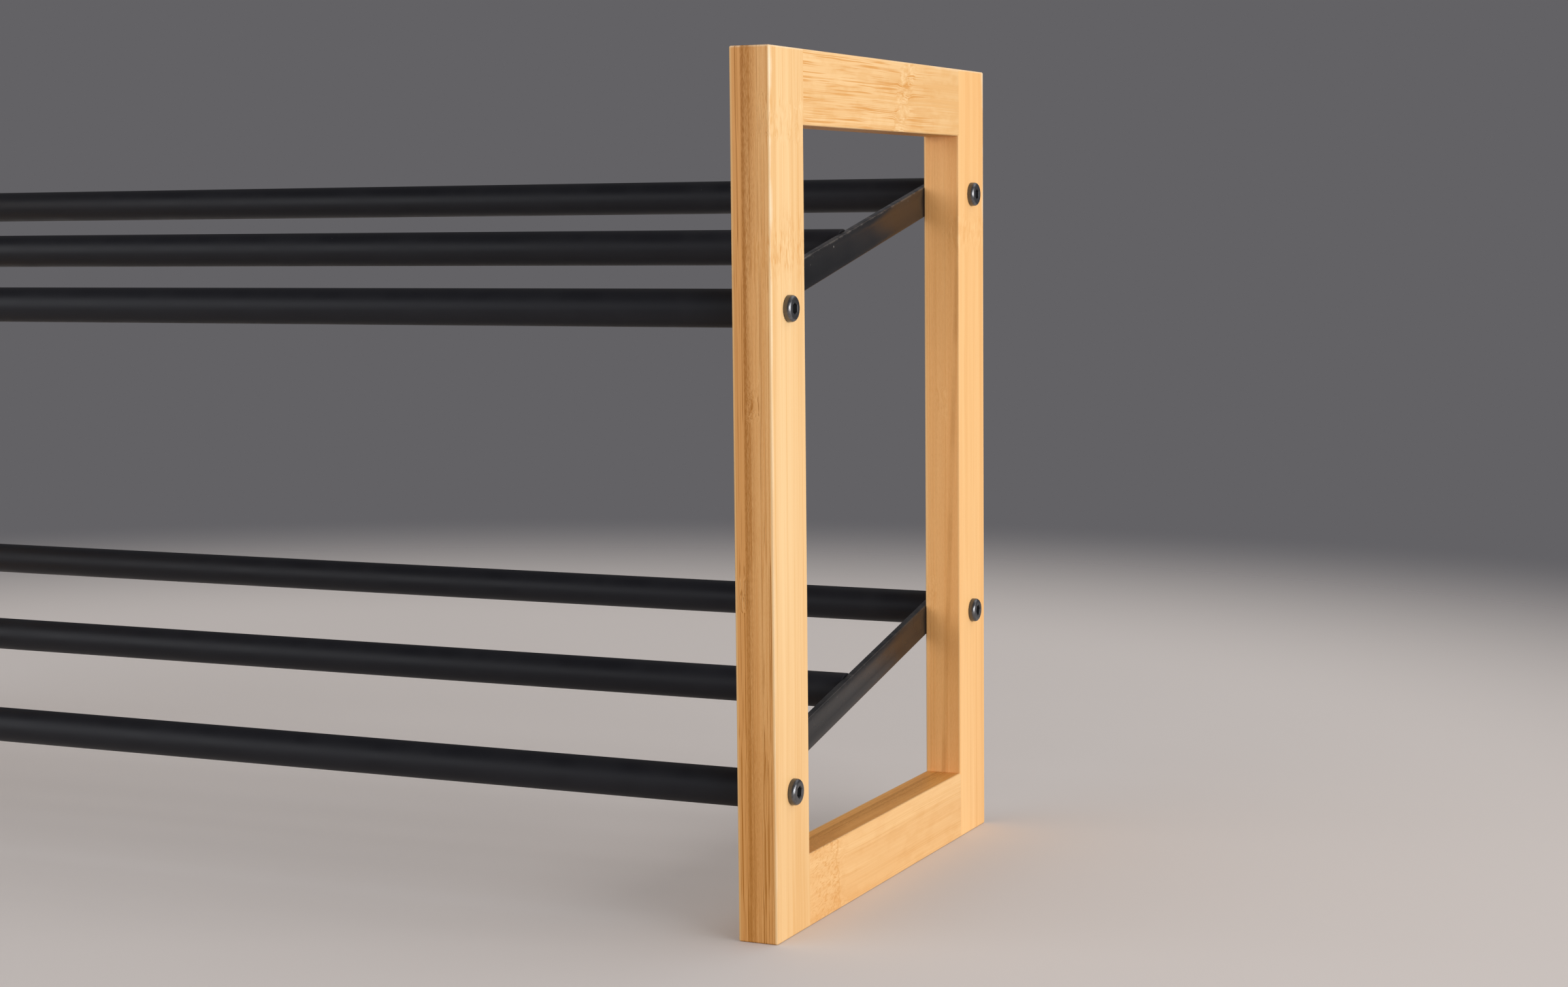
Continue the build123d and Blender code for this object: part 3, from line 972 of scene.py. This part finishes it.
def weld_tree():
    """Weld beads round part of a tube's rim, with ripples and tapered ends."""
    sizes = {"Rim Radius": 0.007, "Bead Radius": 0.001, "Arc": 1.0, "Ripples": 8.0, "Seed": 0.0}
    tree, given, out = shape_group("weld_beads", sizes)
    arc_inputs = {
        "Resolution": WELD_ARC_POINTS,
        "Radius": given["Rim Radius"],
        "Start Angle": times(tree, given["Arc"], -0.5),
        "Sweep Angle": given["Arc"],
    }
    arc = add(tree, "GeometryNodeCurveArc", arc_inputs).outputs[0]
    along = add(tree, "GeometryNodeSplineParameter").outputs["Factor"]
    phase = times(tree, along, given["Ripples"], 2 * math.pi)
    ripple = times_plus(tree, calc(tree, "SINE", phase), WELD_RIPPLE, 1 - WELD_RIPPLE)
    rise = fade(tree, calc(tree, "PINGPONG", along, 0.5), *WELD_TAPER)
    ring_inputs = {"Resolution": WELD_RING_POINTS, "Radius": given["Bead Radius"]}
    swept_inputs = {
        "Curve": arc,
        "Profile Curve": add(tree, "GeometryNodeCurvePrimitiveCircle", ring_inputs).outputs[0],
        "Scale": times(tree, ripple, rise),
        "Fill Caps": True,
    }
    swept = add(tree, "GeometryNodeCurveToMesh", swept_inputs).outputs[0]
    position = add(tree, "GeometryNodeInputPosition").outputs[0]
    in_mm = add(tree, "ShaderNodeVectorMath", {0: position, "Scale": 1 / MM}, operation="SCALE").outputs[0]
    uneven = about_zero(tree, noise(tree, in_mm, given["Seed"], scale=0.9))
    normal = add(tree, "GeometryNodeInputNormal").outputs[0]
    offset_inputs = {0: normal, "Scale": times(tree, uneven, WELD_UNEVENNESS)}
    offset = add(tree, "ShaderNodeVectorMath", offset_inputs, operation="SCALE").outputs[0]
    bead = add(tree, "GeometryNodeSetPosition", {"Geometry": swept, "Offset": offset}).outputs[0]
    upright = {"Geometry": bead, "Rotation": (math.pi / 2, 0, math.pi / 2)}
    standing = add(tree, "GeometryNodeTransform", upright).outputs[0]
    repeat_on_points(tree, given, out, standing)
    return tree


def lathe(mesh_name, rings, segments):
    """Joins rings of points round X. Each ring is (x, radius, corners, rubbed).

    Corners is 6 for a hexagon or 0 for a circle, and rubbed is kept in the attribute rim: over 0 it is wear
    on the rim, under 0 it marks the socket for painted shade.
    """
    form = bmesh.new()
    rim = form.verts.layers.float.new("rim")
    loops = []
    for x, radius, corners, rubbed in rings:
        loop = []
        for step in range(segments):
            angle = 2 * math.pi * step / segments
            reach = radius
            if corners:
                wedge = 2 * math.pi / corners
                reach = radius / math.cos((angle % wedge) - wedge / 2)
            vert = form.verts.new((x, reach * math.cos(angle), reach * math.sin(angle)))
            vert[rim] = rubbed
            loop.append(vert)
        loops.append(loop)
    for inner, outer in zip(loops, loops[1:]):
        for step in range(segments):
            following = (step + 1) % segments
            form.faces.new((inner[step], inner[following], outer[following], outer[step]))
    form.faces.new(loops[0])
    form.faces.new(loops[-1])
    bmesh.ops.recalc_face_normals(form, faces=form.faces)
    return mesh_of(form, mesh_name)


SCREW_SEGMENTS = 48
RIM_STEPS = 6
# Rim values under 0 mark the socket and its lip for painted shade
IN_SOCKET = -1
SOCKET_LIP = -0.3


def screw_form(outward):
    """Low-head socket screw along X, with the underside of its head at x = 0."""
    face = SCREW_OUTER - FRAME_OUTER
    tip = SCREW_TIP - FRAME_OUTER
    head = HEAD_DIAMETER / 2
    shank = SCREW_DIAMETER / 2
    half_socket = SOCKET_WIDTH / 2
    rings = [
        (face - SOCKET_DEPTH, SOCKET_FLOOR_WIDTH / 2, 6, IN_SOCKET),
        (face - SOCKET_DEPTH, half_socket, 6, IN_SOCKET),
        (face - SOCKET_CHAMFER, half_socket, 6, IN_SOCKET),
        (face, half_socket + SOCKET_CHAMFER, 6, SOCKET_LIP),
        (face, half_socket + SOCKET_LAND, 0, 0),
        (face, head - HEAD_RIM_REACH, 0, 0),
    ]
    for step in range(RIM_STEPS + 1):
        share = step / RIM_STEPS
        angle = math.pi / 2 * share
        x = face - HEAD_RIM_RADIUS * (1 - math.cos(angle))
        radius = head - HEAD_RIM_RADIUS * (1 - math.sin(angle))
        rings.append((x, radius, 0, 1 - abs(2 * share - 1)))
    rings += [
        (HEAD_UNDER_CHAMFER, head, 0, 0),
        (0, head - HEAD_UNDER_CHAMFER, 0, 0),
        (0, shank, 0, 0),
        (tip + SCREW_TIP_CHAMFER, shank, 0, 0),
        (tip, shank - SCREW_TIP_CHAMFER, 0, 0),
    ]
    mesh = lathe("screw_form", [(outward * x, *ring) for x, *ring in rings], SCREW_SEGMENTS)
    smooth_between(mesh, SCREW_CREASE)
    return bpy.data.objects.new("screw_form", mesh)


BAR_END_STEPS = 24
BAR_CORNER = math.radians(60)


def bar_mesh(name, middle, pitch):
    """Flat bar with round ends and two screw holes, its edges slightly rounded, tilted with its shelf."""
    form = bmesh.new()
    outline = []
    for end in (1, -1):
        for step in range(BAR_END_STEPS + 1):
            angle = math.pi * step / BAR_END_STEPS - math.pi / 2 + (0 if end > 0 else math.pi)
            y = end * pitch / 2 + BAR_WIDTH / 2 * math.cos(angle)
            outline.append((y, BAR_WIDTH / 2 * math.sin(angle)))
    loops = [outline]
    for end in (1, -1):
        hole = []
        for step in range(2 * BAR_END_STEPS):
            angle = math.pi * step / BAR_END_STEPS
            y = end * pitch / 2 + SCREW_HOLE_DIAMETER / 2 * math.cos(angle)
            hole.append((y, SCREW_HOLE_DIAMETER / 2 * math.sin(angle)))
        loops.append(hole)
    edges = []
    for loop in loops:
        verts = [form.verts.new((0, y, z)) for y, z in loop]
        edges += [form.edges.new((a, b)) for a, b in zip(verts, verts[1:] + verts[:1])]
    bmesh.ops.triangle_fill(form, use_beauty=True, use_dissolve=False, edges=edges)
    flat = form.faces[:]
    grown = bmesh.ops.extrude_face_region(form, geom=flat)["geom"]
    raised = [item for item in grown if isinstance(item, bmesh.types.BMVert)]
    bmesh.ops.translate(form, verts=raised, vec=(BAR_THICKNESS, 0, 0))
    bmesh.ops.recalc_face_normals(form, faces=form.faces)
    sharp = [edge for edge in form.edges if edge.calc_face_angle(0) > BAR_CORNER]
    bmesh.ops.bevel(
        form,
        geom=sharp,
        offset=BAR_EDGE_ROUNDING,
        offset_type="OFFSET",
        segments=3,
        profile=0.5,
        affect="EDGES",
    )
    centre = Matrix.Translation((-BAR_THICKNESS / 2, 0, 0))
    tilted = Matrix.Translation(middle) @ Matrix.Rotation(SHELF_TILT, 4, "X") @ centre
    bmesh.ops.transform(form, matrix=tilted, verts=form.verts)
    mesh = mesh_of(form, name)
    smooth_between(mesh, BAR_CREASE)
    return mesh


# Bamboo end frames: the boards keep their meshes, and each gets its own finish

# The worn side and top of a board place its painted arris highlight
BOARDS = {
    "right_front_post": dict(
        # The front post's cut tint holds painted shading of its cut face as well as its tan
        seed=1.0, Worn_Side=-1.0, Worn_Top=0.6, Cut_Tint=(0.92, 0.745, 0.545, 1),
        Inner_Tone=0.7, Middle_Tone=0.0, Outer_Tone=-0.15, Low_End_Tone=0.5, High_End_Tone=0.1,
        Inner_Seam=0.9, Low_Seam_Share=0.65, Outer_Seam=0.5, Seam_Reach=5.0, Line_Strength=0.75,
        Inner_Knuckle=-34.0, Middle_Knuckle=37.0, Outer_Knuckle=138.0, Mottle=0.22, Ridges=1.0,
        Cut_Lines=0.95, Fleck_Amount=1.9, Fleck_Start=86.0, Fleck_End=90.0, Fleck_Length=4.0,
    ),
    "right_rear_post": dict(
        seed=2.0, Worn_Side=1.0, Worn_Top=0.6,
        # The rear post's paler cut tint is painted light on its cut face
        Pale=(0.92, 0.55, 0.235, 1), Tan=(0.82, 0.43, 0.15, 1), Cut_Tint=(1.0, 0.89, 0.76, 1),
        Inner_Tone=-0.2, Middle_Tone=-0.2, Inner_Seam=0.06, Seam_Reach=4.0,
        Outer_Seam=0.3, Outer_Seam_Shift=1.4, Outer_Seam_Lean=0.032, Outer_Seam_Width=1.7,
        Line_Strength=0.38, Cut_Lines=0.08, Mottle=0.3, Knuckle_Line=0.12,
        Inner_Knuckle=-60.0, Middle_Knuckle=24.0, Outer_Knuckle=96.0,
    ),
    "right_top_rail": dict(
        seed=3.0, lies=True, Worn_Side=-1.0, Outer_Tone=-0.1, High_End_Tone=0.5,
        Inner_Seam=0.2, Outer_Seam=0.3, Mottle=0.6, Blotch=0.3,
        Inner_Knuckle=-50.0, Outer_Knuckle=19.0, Knuckle_Slant=-0.45, Knuckle_Line=0.15,
        Fleck_Amount=0.9, Fleck_Start=-90.0, Fleck_End=48.0,
    ),
    "right_bottom_rail": dict(
        seed=4.0, lies=True, Pale=(0.88, 0.55, 0.25, 1), Tan=(0.76, 0.41, 0.15, 1),
        Inner_Tone=-0.3, Outer_Tone=0.1, Inner_Seam=0.5, Outer_Seam=0.1, Seam_Reach=8.0,
        Line_Strength=0.4, Cut_Lines=0.2, Mottle=0.15, Blotch=0.2,
        Outer_Knuckle=-54.0, Feather=0.75, Knuckle_Line=0.6,
    ),
    "left_front_post": dict(
        seed=5.0, Worn_Side=-1.0, Worn_Top=0.6, Inner_Tone=-0.1, Middle_Tone=0.1, Outer_Tone=0.05,
        Inner_Seam=0.25, Outer_Seam=0.5,
        Inner_Knuckle=95.0, Middle_Knuckle=-20.0, Outer_Knuckle=-90.0,
    ),
    "left_rear_post": dict(
        seed=6.0, Worn_Side=1.0, Worn_Top=0.6, Inner_Tone=0.1, Outer_Tone=-0.1,
        Inner_Seam=0.6, Outer_Seam=0.2,
        Inner_Knuckle=40.0, Middle_Knuckle=-110.0, Outer_Knuckle=120.0,
    ),
    "left_top_rail": dict(
        seed=7.0, lies=True, Worn_Side=-1.0, Inner_Tone=0.05, Inner_Seam=0.3, Outer_Seam=0.2,
        Inner_Knuckle=-22.0, Knuckle_Slant=0.3, Mottle=0.5, Blotch=0.2,
        Fleck_Amount=0.7, Fleck_Start=-10.0, Fleck_End=90.0,
    ),
    "left_bottom_rail": dict(
        seed=8.0, lies=True, Inner_Seam=0.2, Outer_Seam=0.4, Mottle=0.2,
        Inner_Knuckle=38.0, Middle_Knuckle=-30.0, Feather=0.6, Knuckle_Line=0.5, Fleck_Amount=0.3,
    ),
}


def finish_node(node, material):
    """Gives a node of the frame its finish."""
    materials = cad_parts[node].data.materials
    materials.clear()
    materials.append(material)


for board, features in BOARDS.items():
    finish_node(board, bamboo(board, **features))

dowel_wood = turned_wood()
plug_steel = plated_steel()
for side in SIDES:
    finish_node(f"{side}_frame_dowels", dowel_wood)
for shelf in SHELVES:
    finish_node(f"{shelf}_threaded_plugs", plug_steel)

# Shelves

BAR_FINISHES = {"lower": dict(wear=0.3, roughness=0.23), "upper": dict(wear=1.0, roughness=0.16)}
BAR_SEEDS = {"left": 40.0, "right": 3.0}
BEAD_TURNS = {"front": (0,), "middle": (0, math.pi), "rear": (math.pi,)}
matt_black = tube_coat()
round_tube = tube_tree()
weld_beads = weld_tree()
for shelf in SHELVES:
    for place in TUBES:
        node = f"{shelf}_{place}_tube"
        mesh = grow(
            round_tube,
            f"{node}_coated",
            points_mesh(f"{node}_place", [middle_of(node)]),
            Length=TUBE_LENGTH,
            Diameter=TUBE_DIAMETER,
            Wall=TUBE_WALL,
            End_Rounding=TUBE_END_ROUNDING,
            Finish=matt_black,
        )
        smooth_between(mesh, TUBE_CREASE)
        add_piece(mesh.name, mesh, "black_powder_coat", node)

    pitch = (middle_of(f"{shelf}_rear_tube") - middle_of(f"{shelf}_front_tube")).length
    for side in SIDES:
        node = f"{shelf}_{side}_bar"
        mesh = bar_mesh(f"{node}_coated", middle_of(node), pitch)
        mesh.materials.append(bar_coat(node, BAR_SEEDS[side], **BAR_FINISHES[shelf]))
        add_piece(mesh.name, mesh, "black_powder_coat", node)

    # A bead on each side of a tube where the bar runs on past it
    weld_places = []
    weld_turns = []
    bead_x = TUBE_LENGTH / 2 - BEAD_INSET
    for outward in SIDES.values():
        for place in TUBES:
            tube = middle_of(f"{shelf}_{place}_tube")
            for turn in BEAD_TURNS[place]:
                weld_places.append((outward * bead_x, tube.y, tube.z))
                weld_turns.append(SHELF_TILT + turn)
    mesh = grow(
        weld_beads,
        f"{shelf}_welds_coated",
        points_mesh(f"{shelf}_weld_places", weld_places, weld_turns),
        Rim_Radius=TUBE_DIAMETER / 2 + BEAD_STAND_OFF,
        Bead_Radius=BEAD_RADIUS,
        Arc=WELD_ARC,
        Finish=matt_black,
    )
    smooth_between(mesh, WELD_CREASE)
    add_piece(mesh.name, mesh, "black_powder_coat", f"{shelf}_weld_beads")

# Screws

SOCKET_TURNS = (0.35, 0.1, math.pi / 6, 0.5)
screw_steel = black_oxide()
socket_screws = screw_tree()
for side, outward in SIDES.items():
    places = []
    for shelf in SHELVES:
        for place in ("front", "rear"):
            tube = middle_of(f"{shelf}_{place}_tube")
            places.append((outward * FRAME_OUTER, tube.y, tube.z))
    form = screw_form(outward)
    mesh = grow(
        socket_screws,
        f"{side}_frame_screws_blackened",
        points_mesh(f"{side}_screw_places", places, SOCKET_TURNS),
        Screw=form,
        Finish=screw_steel,
    )
    bpy.data.objects.remove(form)
    add_piece(mesh.name, mesh, "black_screw", f"{side}_frame_screws")

# Floor, light and camera

FLOOR_COLOUR = (0.71, 0.65, 0.62, 1)
FLOOR_BOUNCE_COLOUR = (0.33, 0.3, 0.285, 1)
BACKGROUND_COLOUR = (0.125, 0.122, 0.13, 1)
FLOOR_RADIUS = 4.0
FLOOR_SEGMENTS = 96
FLOOR_FADE_START = 0.6
FLOOR_FADE_END = 1.25
AMBIENT_STRENGTH = 0.44
FILL_COLOUR = (0.94, 0.96, 1.0)
RACK_END = Vector((0.3, 0, 0.17))


def seen_directly(tree):
    """One for what the camera sees, straight or in a reflection, and nought for light that spreads."""
    rays = add(tree, "ShaderNodeLightPath").outputs
    return largest(tree, rays["Is Camera Ray"], rays["Is Glossy Ray"], rays["Is Transmission Ray"])


def make_floor():
    """A plain round floor that fades into the background."""
    form = bmesh.new()
    bmesh.ops.create_circle(form, cap_ends=True, segments=FLOOR_SEGMENTS, radius=FLOOR_RADIUS)
    mesh = mesh_of(form, "floor")
    floor = new_object("floor", mesh)
    material, tree, shader = new_finish("pale_floor", Roughness=0.85, Specular_IOR_Level=0.1)
    colour = blend(tree, seen_directly(tree), FLOOR_BOUNCE_COLOUR, FLOOR_COLOUR)
    feed(tree, shader.inputs["Base Color"], colour)
    coordinates = add(tree, "ShaderNodeTexCoord").outputs["Object"]
    reach = add(tree, "ShaderNodeVectorMath", {0: coordinates}, operation="LENGTH").outputs["Value"]
    clear = add(tree, "ShaderNodeBsdfTransparent").outputs[0]
    share = fade(tree, reach, FLOOR_FADE_START, FLOOR_FADE_END)
    faded = add(tree, "ShaderNodeMixShader", {0: share, 1: shader.outputs[0], 2: clear})
    feed(tree, tree.nodes["Material Output"].inputs["Surface"], faded.outputs[0])
    mesh.materials.append(material)


def make_world():
    """Even light from all round, and a plain background for the camera and for reflections."""
    world = bpy.data.worlds.new("studio")
    bpy.context.scene.world = world
    world.use_nodes = True
    tree = world.node_tree
    ambient = tree.nodes["Background"]
    ambient.inputs["Color"].default_value = (1, 1, 1, 1)
    ambient.inputs["Strength"].default_value = AMBIENT_STRENGTH
    plain = add(tree, "ShaderNodeBackground", {"Color": BACKGROUND_COLOUR, "Strength": 1.0})
    inputs = {0: seen_directly(tree), 1: ambient.outputs[0], 2: plain.outputs[0]}
    both = add(tree, "ShaderNodeMixShader", inputs)
    feed(tree, tree.nodes["World Output"].inputs["Surface"], both.outputs[0])


def softbox(name, direction, distance, width, height, watts, colour=(1, 1, 1)):
    """A wide area lamp that stands off from the rack's end in a direction and faces it."""
    data = bpy.data.lights.new(name, "AREA")
    data.shape = "RECTANGLE"
    data.size = width
    data.size_y = height
    data.energy = watts
    data.color = colour
    lamp = new_object(name, data)
    away = Vector(direction).normalized()
    lamp.location = RACK_END + away * distance
    lamp.rotation_mode = "QUATERNION"
    lamp.rotation_quaternion = away.to_track_quat("Z", "Y")


# Camera, solved from the edges of the right-hand end frame, with its angles in radians
CAMERA_PLACE = Vector((0.75921, -1.00337, 0.26709))
CAMERA_TURN = 0.42598  # to the left of straight in
CAMERA_DIP = 0.10035  # below level
CAMERA_ROLL = -0.00957
SENSOR_WIDTH = 36.0
FOCAL_LENGTH = 62.205


def make_camera():
    """The camera at the photograph's viewing angle."""
    data = bpy.data.cameras.new("camera")
    data.sensor_width = SENSOR_WIDTH
    data.lens = FOCAL_LENGTH
    camera = new_object("camera", data)
    level = Matrix.Rotation(CAMERA_TURN, 4, "Z") @ Matrix.Rotation(math.pi / 2 - CAMERA_DIP, 4, "X")
    camera.matrix_world = Matrix.Translation(CAMERA_PLACE) @ level @ Matrix.Rotation(CAMERA_ROLL, 4, "Z")
    bpy.context.scene.camera = camera


make_floor()
make_world()
softbox("key", (1.0, -0.18, 0.13), distance=2.2, width=2.6, height=0.9, watts=46.5)
softbox("fill", (-0.64, -0.76, 0.22), distance=2.0, width=2.4, height=1.2, watts=16.5, colour=FILL_COLOUR)
softbox("back", (0.35, 0.6, 0.75), distance=2.4, width=2.4, height=1.8, watts=9.5)
make_camera()
bpy.context.scene.view_settings.view_transform = "Standard"
